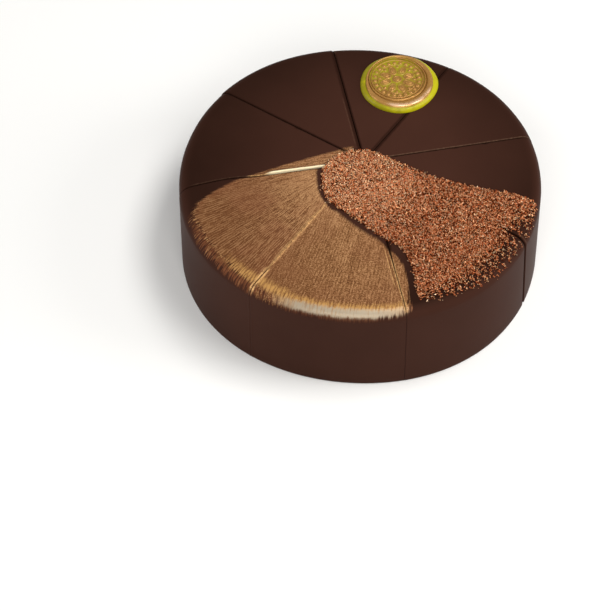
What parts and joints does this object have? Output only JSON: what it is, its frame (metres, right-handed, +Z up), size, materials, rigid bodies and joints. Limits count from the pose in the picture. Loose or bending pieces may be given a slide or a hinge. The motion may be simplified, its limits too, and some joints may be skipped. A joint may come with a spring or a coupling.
{
  "type": "chocolate torte",
  "caption": "Round dark-glazed chocolate torte, cut into wedge slices and left whole, with a brushed bronze fan, a drift of copper crumbs and a pressed lime-green chocolate seal.",
  "frame": {"origin": "centre of the underside, on the surface that the cake stands on", "axes": "+Z up through the cake; -Y towards its front, where the brushed fan meets the crumbs; +X to the right, so the seal lies towards +Y"},
  "size_m": [0.2185, 0.2186, 0.0673],
  "materials": {
    "dark_glaze": "set chocolate glaze, smooth, with a soft satin shine",
    "brushed_glaze": "chocolate glaze brushed over with bronze pearl dust, in fine streaks that fan out to the rim",
    "copper_crumbs": "bed of fine copper-coloured chocolate crumbs on glaze, grainy, with a metallic glint",
    "lime_chocolate": "lime-green chocolate pressed with a stamp, its relief rubbed with gold bronze"
  },
  "bodies": {
    "root": {"slice_back_right": "dark_glaze", "slice_back": "dark_glaze", "slice_back_left": "dark_glaze", "slice_left": "dark_glaze", "slice_front_left": "brushed_glaze", "slice_front": "brushed_glaze", "slice_front_right": "copper_crumbs", "slice_right": "dark_glaze", "chocolate_seal": "lime_chocolate"}
  },
  "joints": []
}
